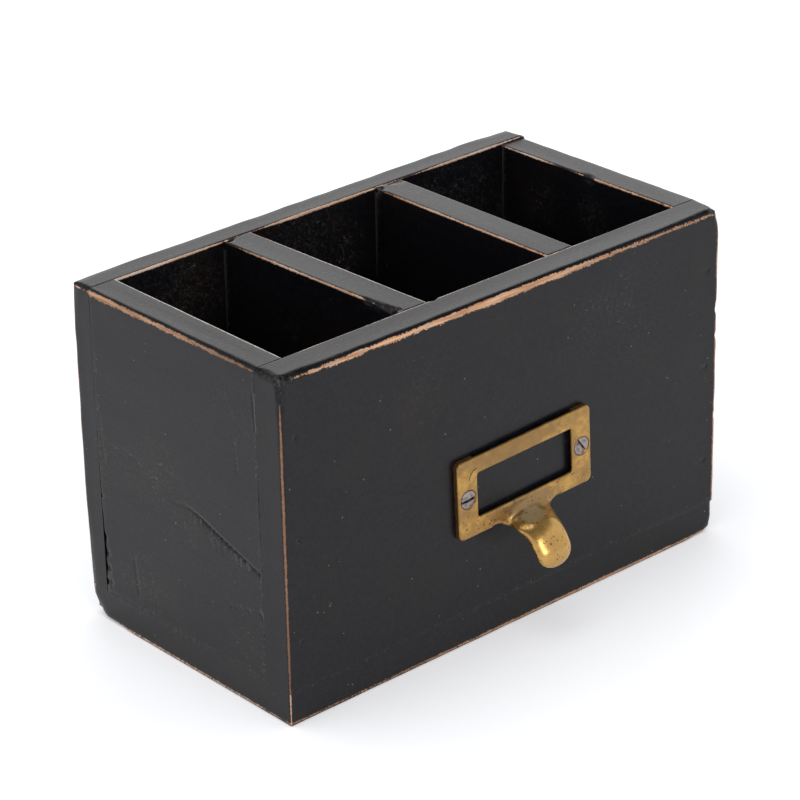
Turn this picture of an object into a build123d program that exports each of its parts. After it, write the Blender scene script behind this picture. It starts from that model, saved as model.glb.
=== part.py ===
from build123d import *
import os
from math import cos, radians, sin, sqrt, tan

# A three-bay wooden pen holder with a cast brass card-frame pull on its front.
# Sizes are in millimetres. The origin is the middle of the underside, +X runs along
# the front to its right-hand end, the front faces -Y and +Z is up.

# The box
width = 200.0               # along the front
depth = 108.0               # from the front face to the back face
height = 126.0              # underside to rim
base_thickness = 12.0
front_thickness = 12.0
back_thickness = 10.0
side_thickness = 11.5       # left and right boards
divider_thickness = 12.0
right_side_drop = 1.0       # the right board's top falls this much towards the back
outer_round = 1.6           # worn outer arrises
inner_round = 0.6           # arrises that face into the bays

# The dividers' middles, measured from the box's middle: both were set by eye
left_divider_front = -32.8
left_divider_back = -36.4
right_divider_front = 33.9
right_divider_back = 32.6

# Cut nails: four-sided, headless and tapered, punched below the surface
nail_width = 2.0
nail_thickness = 1.6
nail_taper = 0.8            # degrees on each side
nail_punch = 1.0            # how far the nail's top lies below the surface
nail_bite = 18.0            # how far the nail goes into the second board
nail_low_margin = 18.0      # from the base joint to the lowest nail in a wall
nail_high_margin = 22.0     # from the rim to the highest
nail_count = 3              # in each end of a board
base_nail_inset = 26.0      # from the box's end to the first nail in the base

# Slotted countersunk screws
screw_diameter = 3.2
screw_head_diameter = 6.6
screw_cone = 90.0           # degrees, across the head's taper
screw_head_sink = 0.2       # the head below the frame's face
screw_slot_width = 0.9
screw_slot_depth = 0.9
screw_point = 3.0           # length of the tapered point
screw_tip_diameter = 0.8    # the point's blunt end
screw_cover = 2.0           # wood left behind the screw
screw_play = 0.05           # room round the shank and past the point
slot_angles = [3.0, -57.0]  # degrees from level, left and right

# The brass pull: a card frame, mounted a little off level
pull_across = 4.2           # its middle, to the right of the box's middle
pull_height = 57.6          # its middle, above the underside
pull_tilt = 2.0             # degrees, with the right-hand end higher
frame_width = 62.0
frame_height = 29.8
frame_thickness = 2.4
frame_corner = 2.4
frame_bevel = 0.5           # filed arrises on the front
frame_rail = 6.75           # the bars above and below the window
screw_margin = 1.3          # brass on each side of a screw head in the end bars
window_corner = 0.6
card_lip = 1.1              # brass left in front of the card
card_lap = 1.2              # how far the card reaches under the frame at the sides
card_foot = 2.0             # and below the window

# The frame's lower edge flares into the tongue, which curls out along a quarter ellipse
flare_radius = 6.5
flare_turn = 55.0           # degrees that each side of the flare turns down by
tongue_across = 0.8         # the tongue's middle, to the right of the frame's
root_width = 20.0           # where the tongue grows out of the frame
root_thickness = 8.4        # thicker than the tongue, so that it swells into the lower bar
root_drop = 0.3             # the root's middle, below the frame's lower edge
tongue_clear = 0.6          # where the curl begins, in front of the frame
tongue_dip = 1.6            # the curl's highest point, below the frame's lower edge
tongue_reach = 13.7         # how far the curl runs outwards
tongue_drop = 14.5          # how far it runs down
tongue_width = 15.0
tongue_thickness = 5.2
quarter_turn = 90.0         # degrees of curl from root to tip
dish_radius = 13.0          # the finger dish in the tongue's upper side
dish_depth = 0.7
dish_turn_share = 0.22      # share of the quarter turn at the dish's middle
# Shares of the quarter turn, of the tongue's width and of its thickness, from root to bulb
tongue_shares = [(0.09, 1.17, 0.98), (0.22, 1.07, 0.9), (0.48, 1.0, 0.92), (0.73, 0.97, 1.04)]
# Shares of the way from the bulb to the very tip, where the tongue rounds off
tip_shares = [0.5, 0.8, 0.96]

overrun = 1.0               # how far a cut runs past what it cuts

# Places that follow from the sizes above
wall_height = height - base_thickness
inner_front = front_thickness - depth / 2
inner_back = depth / 2 - back_thickness
inner_depth = inner_back - inner_front
inner_middle = (inner_back + inner_front) / 2
side_middle = (width - side_thickness) / 2
front_middle = (front_thickness - depth) / 2
back_middle = (depth - back_thickness) / 2
front_face = Plane(origin=(0, -depth / 2, 0), x_dir=(1, 0, 0), z_dir=(0, -1, 0))
back_face = Plane(origin=(0, depth / 2, 0), x_dir=(-1, 0, 0), z_dir=(0, 1, 0))
underside = Plane(origin=(0, 0, 0), x_dir=(1, 0, 0), z_dir=(0, 0, -1))

nail_span = wall_height - nail_low_margin - nail_high_margin
nail_first = base_thickness + nail_low_margin
nail_rows = [nail_first + nail_span * row / (nail_count - 1) for row in range(nail_count)]
left_end_nails = [(-side_middle, row) for row in nail_rows]
right_end_nails = [(side_middle, row) for row in nail_rows]
end_nails = left_end_nails + right_end_nails
base_row = width / 2 - base_nail_inset
front_base_nails = [(x, -front_middle) for x in (-base_row, 0, base_row)]
back_base_nails = [(x, -back_middle) for x in (-base_row, 0, base_row)]
left_base_nail = (-side_middle, -inner_middle)
right_base_nail = (side_middle, -inner_middle)
all_base_nails = front_base_nails + back_base_nails + [left_base_nail, right_base_nail]

end_bar = screw_head_diameter + 2 * screw_margin
window_width = frame_width - 2 * end_bar
window_height = frame_height - 2 * frame_rail
pull_face = Plane(
    origin=(pull_across, -depth / 2, pull_height),
    x_dir=(cos(radians(pull_tilt)), 0, sin(radians(pull_tilt))),
    z_dir=(0, -1, 0),
)
pull_front = pull_face.offset(frame_thickness)
screw_across = (frame_width - end_bar) / 2
screw_points = [(-screw_across, 0), (screw_across, 0)]
screw_length = frame_thickness + front_thickness - screw_cover
sink_radius = screw_head_diameter / 2 + screw_head_sink * tan(radians(screw_cone / 2))

os.makedirs("parts", exist_ok=True)


def finish(piece, name):
    """Label a finished piece and write it."""
    piece.part.label = name
    export_step(piece.part, f"parts/{name}.step")


def drive_nails(face, points, thickness, mode=Mode.SUBTRACT):
    """Nails driven through the board behind this face: the way they cut, or their own metal."""
    with BuildSketch(face.offset(-nail_punch)) as nail_tops:
        with Locations(*points):
            Rectangle(nail_width, nail_thickness)
    driven = thickness - nail_punch + nail_bite
    extrude(nail_tops.sketch, amount=-driven, taper=nail_taper, mode=mode)


def punch_pockets(face, points):
    """The pockets that the punch leaves above the nails."""
    with BuildSketch(face) as pocket_mouths:
        with Locations(*points):
            Rectangle(nail_width, nail_thickness)
    extrude(pocket_mouths.sketch, amount=-nail_punch, mode=Mode.SUBTRACT)


def screw_holes():
    """The countersunk way of both screws, through the frame and into the front board."""
    with Locations(pull_front):
        with Locations(*screw_points):
            CounterSinkHole(
                radius=screw_diameter / 2 + screw_play,
                counter_sink_radius=sink_radius,
                depth=screw_length + screw_play,
                counter_sink_angle=screw_cone,
            )


# The base lies under all four walls
with BuildPart() as bottom_board:
    with BuildSketch():
        Rectangle(width, depth)
    extrude(amount=base_thickness)
    uprights = bottom_board.edges().filter_by(Axis.Z)
    lower_edges = bottom_board.faces().sort_by(Axis.Z)[0].edges()
    fillet(uprights + lower_edges, radius=outer_round)
    drive_nails(underside, all_base_nails, base_thickness)
    punch_pockets(underside, all_base_nails)
finish(bottom_board, "bottom_board")

# The front board covers the ends of the side boards, and carries the pull
with BuildPart() as front_panel:
    with BuildSketch(Plane.XY.offset(base_thickness)):
        with Locations((0, front_middle)):
            Rectangle(width, front_thickness)
    extrude(amount=wall_height)
    uprights = front_panel.faces().sort_by(Axis.Y)[0].edges().filter_by(Axis.Z)
    rim = front_panel.faces().sort_by(Axis.Z)[-1].edges().sort_by(Axis.Y)
    fillet(uprights + rim[:-1], radius=outer_round)
    rim = front_panel.faces().sort_by(Axis.Z)[-1].edges().sort_by(Axis.Y)
    fillet(rim[-1], radius=inner_round)
    drive_nails(front_face, end_nails, front_thickness)
    punch_pockets(front_face, end_nails)
    drive_nails(underside, front_base_nails, base_thickness)
    screw_holes()
finish(front_panel, "front_panel")

# The back board matches it, without the pull
with BuildPart() as back_panel:
    with BuildSketch(Plane.XY.offset(base_thickness)):
        with Locations((0, back_middle)):
            Rectangle(width, back_thickness)
    extrude(amount=wall_height)
    uprights = back_panel.faces().sort_by(Axis.Y)[-1].edges().filter_by(Axis.Z)
    rim = back_panel.faces().sort_by(Axis.Z)[-1].edges().sort_by(Axis.Y)
    fillet(uprights + rim[1:], radius=outer_round)
    rim = back_panel.faces().sort_by(Axis.Z)[-1].edges().sort_by(Axis.Y)
    fillet(rim[0], radius=inner_round)
    drive_nails(back_face, end_nails, back_thickness)
    punch_pockets(back_face, end_nails)
    drive_nails(underside, back_base_nails, base_thickness)
finish(back_panel, "back_panel")

# The left board stands between front and back
with BuildPart() as left_side:
    with BuildSketch(Plane.XY.offset(base_thickness)):
        with Locations((-side_middle, inner_middle)):
            Rectangle(side_thickness, inner_depth)
    extrude(amount=wall_height)
    rim = left_side.faces().sort_by(Axis.Z)[-1].edges().filter_by(Axis.Y).sort_by(Axis.X)
    fillet(rim[0], radius=outer_round)
    rim = left_side.faces().sort_by(Axis.Z)[-1].edges().filter_by(Axis.Y).sort_by(Axis.X)
    fillet(rim[-1], radius=inner_round)
    drive_nails(front_face, left_end_nails, front_thickness)
    drive_nails(back_face, right_end_nails, back_thickness)
    drive_nails(underside, [left_base_nail], base_thickness)
finish(left_side, "left_side")

# The right board was sawn out of square: its top falls towards the back
with BuildPart() as right_side:
    with BuildSketch(Plane.YZ.offset(width / 2 - side_thickness)):
        with BuildLine():
            Polyline(
                (inner_front, base_thickness),
                (inner_back, base_thickness),
                (inner_back, height - right_side_drop),
                (inner_front, height),
                close=True,
            )
        make_face()
    extrude(amount=side_thickness)
    rim = right_side.faces().sort_by(Axis.Z)[-1].edges().filter_by(Axis.X, reverse=True).sort_by(Axis.X)
    fillet(rim[-1], radius=outer_round)
    rim = right_side.faces().sort_by(Axis.Z)[-1].edges().filter_by(Axis.X, reverse=True).sort_by(Axis.X)
    fillet(rim[0], radius=inner_round)
    drive_nails(front_face, right_end_nails, front_thickness)
    drive_nails(back_face, left_end_nails, back_thickness)
    drive_nails(underside, [right_base_nail], base_thickness)
finish(right_side, "right_side")


def divider(front, back):
    """A cross board whose ends are cut to meet the front and back boards flat."""
    half = divider_thickness / 2
    with BuildPart() as board:
        with BuildSketch(Plane.XY.offset(base_thickness)):
            with BuildLine():
                Polyline(
                    (front - half, inner_front),
                    (front + half, inner_front),
                    (back + half, inner_back),
                    (back - half, inner_back),
                    close=True,
                )
            make_face()
        extrude(amount=wall_height)
        rim = board.faces().sort_by(Axis.Z)[-1].edges().filter_by(Axis.X, reverse=True)
        fillet(rim, radius=inner_round)
    return board


left_divider = divider(left_divider_front, left_divider_back)
finish(left_divider, "left_divider")
right_divider = divider(right_divider_front, right_divider_back)
finish(right_divider, "right_divider")


def root_section(level):
    """The plane across the tongue's root, this far out from the front board."""
    middle = pull_face.from_local_coords((tongue_across, -frame_height / 2 - root_drop, level))
    return Plane(middle, pull_face.x_dir, pull_face.z_dir)


def tongue_section(turn):
    """The plane across the tongue where it has curled down by this many degrees."""
    out = frame_thickness + tongue_clear + tongue_reach * sin(radians(turn))
    down = frame_height / 2 + tongue_dip + tongue_drop * (1 - cos(radians(turn)))
    run_out = tongue_reach * cos(radians(turn))
    run_down = tongue_drop * sin(radians(turn))
    middle = pull_face.from_local_coords((tongue_across, -down, out))
    return Plane(middle, pull_face.x_dir, pull_face.z_dir * run_out - pull_face.y_dir * run_down)


def oval(plane, across, thickness):
    """One section of the tongue."""
    with BuildSketch(plane) as section:
        Ellipse(across / 2, thickness / 2)
    return section.sketch


# The frame's plate, with its flare and window
with BuildPart() as frame_plate:
    with BuildSketch(pull_face):
        RectangleRounded(frame_width, frame_height, frame_corner)
        with BuildLine():
            lower_edge = -frame_height / 2
            flare_start = root_width / 2 + flare_radius * sin(radians(flare_turn))
            left_start = (tongue_across - flare_start, lower_edge)
            right_start = (tongue_across + flare_start, lower_edge)
            left_arc = JernArc(left_start, (1, 0), flare_radius, -flare_turn)
            right_arc = JernArc(right_start, (-1, 0), flare_radius, flare_turn)
            Line(left_arc @ 1, right_arc @ 1)
            Line(right_start, left_start)
        make_face()
        RectangleRounded(window_width, window_height, window_corner, mode=Mode.SUBTRACT)
    extrude(amount=frame_thickness)
    chamfer(frame_plate.faces().sort_by(Axis.Y)[0].edges(), length=frame_bevel)

with BuildPart() as label_pull:
    # The tongue's root, as thick as the frame
    extrude(oval(root_section(0), root_width, root_thickness), amount=frame_thickness)
    # Its curl, lofted out to the bulb
    sections = [oval(root_section(frame_thickness), root_width, root_thickness)]
    for turn_share, width_share, thickness_share in tongue_shares:
        section_plane = tongue_section(quarter_turn * turn_share)
        sections.append(oval(section_plane, tongue_width * width_share, tongue_thickness * thickness_share))
    loft(sections)
    # The bulb's round end
    sections = sections[-1:]
    for tip_share in tip_shares:
        closing = sqrt(1 - tip_share**2)
        section_plane = tongue_section(quarter_turn * (turn_share + (1 - turn_share) * tip_share))
        tip_width = tongue_width * width_share * closing
        sections.append(oval(section_plane, tip_width, tongue_thickness * thickness_share * closing))
    loft(sections)
    # The dish that a fingertip rests in
    dish = tongue_section(quarter_turn * dish_turn_share)
    with Locations(dish.from_local_coords((0, tongue_thickness / 2 - dish_depth + dish_radius, 0))):
        Sphere(dish_radius, mode=Mode.SUBTRACT)
    # The frame, then the recess behind its window, open at the top, that a card slides into
    add(frame_plate.part)
    card_height = (frame_height + window_height) / 2 + card_foot
    with BuildSketch(pull_face):
        with Locations((0, frame_height / 2 + overrun)):
            Rectangle(window_width + 2 * card_lap, card_height + overrun, align=(Align.CENTER, Align.MAX))
    extrude(amount=frame_thickness - card_lip, mode=Mode.SUBTRACT)
    screw_holes()
finish(label_pull, "label_pull")

# Each screw is turned about its own axis, then slotted across its head
with BuildPart() as pull_screws:
    head_radius = screw_head_diameter / 2
    shank_radius = screw_diameter / 2
    neck_level = (shank_radius - head_radius) / tan(radians(screw_cone / 2)) - screw_head_sink
    for (across, up), slot_angle in zip(screw_points, slot_angles):
        middle = pull_front.from_local_coords((across, up, 0))
        with BuildSketch(Plane(middle, pull_front.x_dir, -pull_front.y_dir)):
            with BuildLine():
                Polyline(
                    (0, -screw_head_sink),
                    (head_radius, -screw_head_sink),
                    (shank_radius, neck_level),
                    (shank_radius, screw_point - screw_length),
                    (screw_tip_diameter / 2, -screw_length),
                    (0, -screw_length),
                    close=True,
                )
            make_face()
        revolve(axis=Axis(middle, pull_front.z_dir))
        with BuildSketch(Plane(middle, pull_front.x_dir, pull_front.z_dir).offset(-screw_head_sink)):
            Rectangle(screw_head_diameter + overrun, screw_slot_width, rotation=slot_angle)
        extrude(amount=-screw_slot_depth, mode=Mode.SUBTRACT)
finish(pull_screws, "pull_screws")

# The nails, a group for each board that they are driven through
with BuildPart() as front_nails:
    drive_nails(front_face, end_nails, front_thickness, mode=Mode.ADD)
finish(front_nails, "front_nails")

with BuildPart() as back_nails:
    drive_nails(back_face, end_nails, back_thickness, mode=Mode.ADD)
finish(back_nails, "back_nails")

with BuildPart() as base_nails:
    drive_nails(underside, all_base_nails, base_thickness, mode=Mode.ADD)
finish(base_nails, "base_nails")
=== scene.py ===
# %% [markdown]
# # A three-bay wooden pen holder
# The box is nailed together from seven black-painted boards, and a cast brass card-frame pull is
# screwed to its front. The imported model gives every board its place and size. This lesson dresses
# it: worn arrises, paint rubbed through to the wood, old brass and steel screws.

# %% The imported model
from math import cos, hypot, pi, radians, sin

import bmesh
import bpy
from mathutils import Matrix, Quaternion, Vector, geometry, noise


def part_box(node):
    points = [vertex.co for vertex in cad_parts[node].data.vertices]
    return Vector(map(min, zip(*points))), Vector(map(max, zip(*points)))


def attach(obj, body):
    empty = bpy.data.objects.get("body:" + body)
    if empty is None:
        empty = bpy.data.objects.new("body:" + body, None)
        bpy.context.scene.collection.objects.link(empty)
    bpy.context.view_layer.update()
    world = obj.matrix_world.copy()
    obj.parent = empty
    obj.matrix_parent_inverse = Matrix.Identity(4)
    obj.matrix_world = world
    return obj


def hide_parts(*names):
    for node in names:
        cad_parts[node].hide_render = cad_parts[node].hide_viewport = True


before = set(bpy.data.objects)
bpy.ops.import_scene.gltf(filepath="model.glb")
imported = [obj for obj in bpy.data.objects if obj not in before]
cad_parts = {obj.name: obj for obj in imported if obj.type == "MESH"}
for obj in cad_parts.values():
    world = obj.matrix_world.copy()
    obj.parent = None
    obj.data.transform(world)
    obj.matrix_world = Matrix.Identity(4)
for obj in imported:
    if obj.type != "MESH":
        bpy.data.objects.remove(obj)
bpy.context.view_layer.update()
mm = 0.001
print("nodes:", ", ".join(sorted(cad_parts)))

# %% [markdown]
# ## The camera
# The view is a long lens, a little over a metre away, from the front left and above. A long lens
# keeps the box's edges nearly parallel. The camera is placed by how far it is turned about the
# box, how high it looks from, and a small roll, so each value says one thing.

# %% Camera
view_turn = radians(-41.34)
view_lift = radians(25.76)
view_roll = radians(-1.2)
view_distance = 1.171
view_aim = Vector((-0.3, 2.2, 66.1)) * mm
lens_length = 151.5         # mm, on the usual 36 mm sensor
view_reach = 100            # metres, far enough for the whole floor

camera = bpy.data.objects.new("camera", bpy.data.cameras.new("camera"))
bpy.context.scene.collection.objects.link(camera)
away = Vector((sin(view_turn) * cos(view_lift), -cos(view_turn) * cos(view_lift), sin(view_lift)))
camera.location = view_aim + away * view_distance
camera.rotation_mode = "QUATERNION"
camera.rotation_quaternion = away.to_track_quat("Z", "Y") @ Quaternion((0, 0, 1), view_roll)
camera.data.lens = lens_length
camera.data.clip_end = view_reach
bpy.context.scene.camera = camera
print("camera at", [round(value, 3) for value in camera.location])

# %% [markdown]
# ## Helpers for finishes
# Colours are written as hex values, the way a colour picker shows them. The shaders work on linear
# light, so one function turns them. Another adds a node: it sets the node's properties, then fills
# each socket with a value or a link. A Mix node's colour sockets share their names with its other
# sockets, so they are told apart by number.

# %% Colours and nodes
under, over, mixed = 6, 7, 2    # a Mix node's lower and upper colour, and its result


def linear(hex_colour):
    """Turn an sRGB hex colour to linear values with an alpha of 1."""
    values = []
    for start in (1, 3, 5):
        part = int(hex_colour[start:start + 2], 16) / 255
        values.append(part / 12.92 if part <= 0.04045 else ((part + 0.055) / 1.055) ** 2.4)
    return values + [1]


def add(tree, kind, sockets, **settings):
    """Add a shader node, with its properties, and with values or links for its sockets."""
    made = tree.nodes.new("ShaderNode" + kind)
    for name, value in settings.items():
        setattr(made, name, value)
    for key, source in sockets.items():
        if isinstance(source, bpy.types.NodeSocket):
            tree.links.new(source, made.inputs[key])
        else:
            made.inputs[key].default_value = source
    return made


def new_material(name):
    """A material with an empty node tree."""
    material = bpy.data.materials.new(name)
    material.use_nodes = True
    material.node_tree.nodes.clear()
    return material


print("mid grey in linear light:", round(linear("#808080")[0], 3))

# %% [markdown]
# ## Black paint, rubbed through
# The boards are old softwood under satin black paint. Paint gives a dark body and a clear sheen at
# low angles. On the arrises it is rubbed through to pale wood, with a brown fringe where the paint
# thins out. Five marks on a board's mesh say where: how many millimetres a point lies inside a rubbed
# stripe (bare); how brown that stripe has aged, and below zero how pale, which on some inner arrises
# is a painted highlight; how ragged its edge is (fray); how far inside a crack, a cut, a dent or a dark
# chip a point lies, where shade is painted; and how much the paint is scratched, with painted
# highlights along the inner back corners and on the gouge. A picture could carry all this, but noise
# needs no file and stays sharp at any distance. So the noises come first.

# %% Noises
mark_names = ("bare", "soil_and_highlight", "fray", "scar_shade", "scuff_and_highlight")
soft = dict(interpolation_type="SMOOTHSTEP")  # eases both ends of a range
long_grain = 0.06           # how much slower the grain changes along a board than across it
even_sizes = {
    "bites": 2.2 * mm,      # broad bites in a stripe's edge
    "nibbles": 0.6 * mm,    # fine ones
    "patches": 26.0 * mm,   # where the paint is thin
}
drawn_sizes = {
    "grain": 0.9 * mm,
    "brush": 8.0 * mm,      # bands that the brush left in the sheen
}
film_size = 1.3 * mm        # mottling in the paint


def paint_noises(tree, place, grain_stretch):
    """The noises that the layers share: some even, and two drawn out along the grain."""
    along = add(tree, "Mapping", {"Vector": place, "Scale": grain_stretch}).outputs[0]
    noises = {}
    for name, size in even_sizes.items():
        noises[name] = add(tree, "TexNoise", {"Vector": place, "Scale": 1 / size}).outputs[0]
    for name, size in drawn_sizes.items():
        noises[name] = add(tree, "TexNoise", {"Vector": along, "Scale": 1 / size}).outputs[0]
    sockets = {"Vector": place, "Scale": 1 / film_size, "Detail": 5.0, "Roughness": 0.7}
    noises["film"] = add(tree, "TexNoise", sockets).outputs[0]
    return noises


print("noises:", ", ".join([*even_sizes, *drawn_sizes, "film"]))

# %% [markdown]
# ## The wood in the stripes
# A stripe's edge lies where bare is zero. Bites and nibbles move it in and out, as far as fray lets
# them. The wood is streaked along its grain, grey where it was handled, brown where the stripe's brown
# mark is 1 and pale where it is -1; on some inner arrises that pale line is a painted highlight. The
# colours are laid over one another in a loop, each with its own share.

# %% Bare wood
bite_reach = 1.4            # millimetres that a full bite moves a stripe's edge
nibble_reach = 2.2
edge_middle = -(bite_reach + nibble_reach) / 2  # a noise is a half on average


def bare_wood(tree, noises, marks):
    """The wood's colour, how much of it shows, and how much of the fringe round it."""
    sockets = {0: noises["bites"], 1: bite_reach, 2: edge_middle}
    bitten = add(tree, "Math", sockets, operation="MULTIPLY_ADD").outputs[0]
    sockets = {0: noises["nibbles"], 1: nibble_reach, 2: bitten}
    bitten = add(tree, "Math", sockets, operation="MULTIPLY_ADD").outputs[0]
    sockets = {0: bitten, 1: marks["fray"], 2: marks["bare"]}
    ragged = add(tree, "Math", sockets, operation="MULTIPLY_ADD").outputs[0]
    sockets = {"Value": ragged, "From Min": -0.03, "From Max": 0.17}
    wood_shows = add(tree, "MapRange", sockets, **soft).outputs[0]
    sockets = {"Value": ragged, "From Min": -0.3, "From Max": 0.0}
    fringe_shows = add(tree, "MapRange", sockets, **soft).outputs[0]

    sockets = {"Value": noises["grain"], "From Min": 0.38, "From Max": 0.66}
    streaks = add(tree, "MapRange", sockets, **soft).outputs[0]
    sockets = {"Value": noises["bites"], "From Min": 0.52, "From Max": 0.72, "To Max": 0.7}
    handled = add(tree, "MapRange", sockets, **soft).outputs[0]
    brown = add(tree, "Math", {0: marks["soil_and_highlight"], 1: 0.0}, operation="MAXIMUM").outputs[0]
    # Pale where the stripe's brown is below zero; on some inner arrises a painted highlight
    sockets = {0: marks["soil_and_highlight"], 1: -1.0}
    pale_and_highlit = add(tree, "Math", sockets, operation="MULTIPLY", use_clamp=True).outputs[0]
    layers = [(streaks, "#B3825F"), (handled, "#B0A091"), (brown, "#775945"), (pale_and_highlit, "#DCD4CC")]
    wood = linear("#E3B48F")
    for share, hue in layers:
        sockets = {"Factor": share, under: wood, over: linear(hue)}
        wood = add(tree, "Mix", sockets, data_type="RGBA").outputs[mixed]
    return wood, wood_shows, fringe_shows


print("a stripe's edge wanders", -edge_middle, "mm each way at most")

# %% [markdown]
# ## The coat of paint
# The paint is mottled black, brown where it is thin. Hairline scratches lie where a noise crosses its
# middle value, which draws fine wandering lines. Light flecks show where the paint is fretted, and
# along the inner back corners and on the gouge they are painted highlights. Dust settles on what faces
# up, which also paints the sheen of the tops, and single grains of it cling everywhere. Cracks and cuts
# are darkest, with painted shade.

# %% Paint
scratch_size = 3.5 * mm
hairline = 0.012            # how near its middle value the noise is in a scratch
dust_cell = 3.0 * mm        # about one grain of dust in seven of these


def hairline_scratches(tree, place, noises, scuff_and_highlight):
    """Fine lines where the scuff mark, the patches and the nibbles agree."""
    sockets = {"Vector": place, "Scale": 1 / scratch_size, "Detail": 1.0, "Distortion": 1.2}
    wander = add(tree, "TexNoise", sockets).outputs[0]
    aside = add(tree, "Math", {0: wander, 1: 0.5}, operation="SUBTRACT").outputs[0]
    aside = add(tree, "Math", {0: aside}, operation="ABSOLUTE").outputs[0]
    sockets = {"Value": aside, "From Min": 0.0, "From Max": hairline, "To Min": 1.0, "To Max": 0.0}
    lines = add(tree, "MapRange", sockets, **soft).outputs[0]
    sockets = {0: noises["patches"], 1: 0.8, 2: scuff_and_highlight}
    worked = add(tree, "Math", sockets, operation="MULTIPLY_ADD").outputs[0]
    sockets = {0: noises["nibbles"], 1: 0.6, 2: worked}
    worked = add(tree, "Math", sockets, operation="MULTIPLY_ADD").outputs[0]
    sockets = {"Value": worked, "From Min": 0.86, "From Max": 1.15, "To Max": 0.6}
    where = add(tree, "MapRange", sockets, **soft).outputs[0]
    return add(tree, "Math", {0: lines, 1: where}, operation="MULTIPLY").outputs[0]


def dust_and_sheen_on_top(tree, film):
    """A film of dust on what faces up, in blotches, which also paints the sheen of the tops."""
    normal = add(tree, "NewGeometry", {}).outputs["Normal"]
    facing_up = add(tree, "SeparateXYZ", {"Vector": normal}).outputs["Z"]
    sockets = {"Value": facing_up, "From Min": 0.8, "From Max": 1.0, "To Max": 0.55}
    dust_and_sheen = add(tree, "MapRange", sockets, **soft).outputs[0]
    sockets = {"Value": film, "From Min": 0.5, "From Max": 0.7}
    blotches = add(tree, "MapRange", sockets, **soft).outputs[0]
    return add(tree, "Math", {0: dust_and_sheen, 1: blotches}, operation="MULTIPLY").outputs[0]


def paint_coat(tree, place, noises, marks):
    """The paint's colour, and how far shade is painted into its scars."""
    sockets = {"Value": noises["film"], "From Min": 0.32, "From Max": 0.68}
    mottle = add(tree, "MapRange", sockets).outputs[0]
    sockets = {"Value": noises["patches"], "From Min": 0.52, "From Max": 0.78, "To Max": 0.6}
    thin = add(tree, "MapRange", sockets, **soft).outputs[0]
    scratched = hairline_scratches(tree, place, noises, marks["scuff_and_highlight"])
    # Flecks where the paint is fretted, which run together where the scuff mark passes 1; along the
    # inner back corners and on the gouge they are painted highlights
    sockets = {"Value": noises["nibbles"], "From Min": 0.58, "From Max": 0.7}
    flecks_and_highlights = add(tree, "MapRange", sockets, **soft).outputs[0]
    flecks_and_highlights = add(tree, "Math", {0: flecks_and_highlights, 1: marks["scuff_and_highlight"]}, operation="MULTIPLY").outputs[0]
    sockets = {"Value": marks["scuff_and_highlight"], "From Min": 1.0, "From Max": 1.6, "To Max": 0.7}
    strokes = add(tree, "MapRange", sockets, **soft).outputs[0]
    flecks_and_highlights = add(tree, "Math", {0: flecks_and_highlights, 1: strokes}, operation="MAXIMUM", use_clamp=True).outputs[0]
    dust_and_sheen = dust_and_sheen_on_top(tree, noises["film"])
    # Grains of dust, some larger than others
    cells = add(tree, "TexVoronoi", {"Vector": place, "Scale": 1 / dust_cell}).outputs
    sockets = {"Value": cells["Color"], "From Min": 0.68, "From Max": 0.92, "To Max": 0.1}
    dust_radius = add(tree, "MapRange", sockets).outputs[0]
    sockets = {0: cells["Distance"], 1: dust_radius}
    dust = add(tree, "Math", sockets, operation="LESS_THAN").outputs[0]
    dust = add(tree, "Math", {0: dust, 1: 0.5}, operation="MULTIPLY").outputs[0]
    # Painted shade in cracks, cuts, dents and dark chips
    sockets = {0: noises["nibbles"], 1: 0.5, 2: marks["scar_shade"]}
    torn = add(tree, "Math", sockets, operation="MULTIPLY_ADD").outputs[0]
    sockets = {"Value": torn, "From Min": 0.2, "From Max": 0.5}
    shaded_scars = add(tree, "MapRange", sockets, **soft).outputs[0]
    # The dust settled on the tops also paints their sheen
    layers = [(mottle, "#17161A"), (thin, "#1D1511"), (scratched, "#5C5A58"), (flecks_and_highlights, "#484644"),
              (dust_and_sheen, "#403E3C"), (dust, "#8E8C88"), (shaded_scars, "#030303")]
    paint = linear("#050508")
    for share, hue in layers:
        sockets = {"Factor": share, under: paint, over: linear(hue)}
        paint = add(tree, "Mix", sockets, data_type="RGBA").outputs[mixed]
    return paint, shaded_scars


print("grains of dust: one in about seven cells of", dust_cell / mm, "mm")

# %% [markdown]
# ## Paint over wood
# The fringe lies over the paint, and the bare wood over both. The sheen follows the brush, and wood
# and scars are dull. A small bump gives the paint its grain and sinks the bare wood below it.

# %% Painted wood
relief_depth = 0.08 * mm
dull_wood = 0.68            # roughness of bare wood and of scars
paint_ior = 1.32            # a little low: old paint has lost some of its gloss


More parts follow.
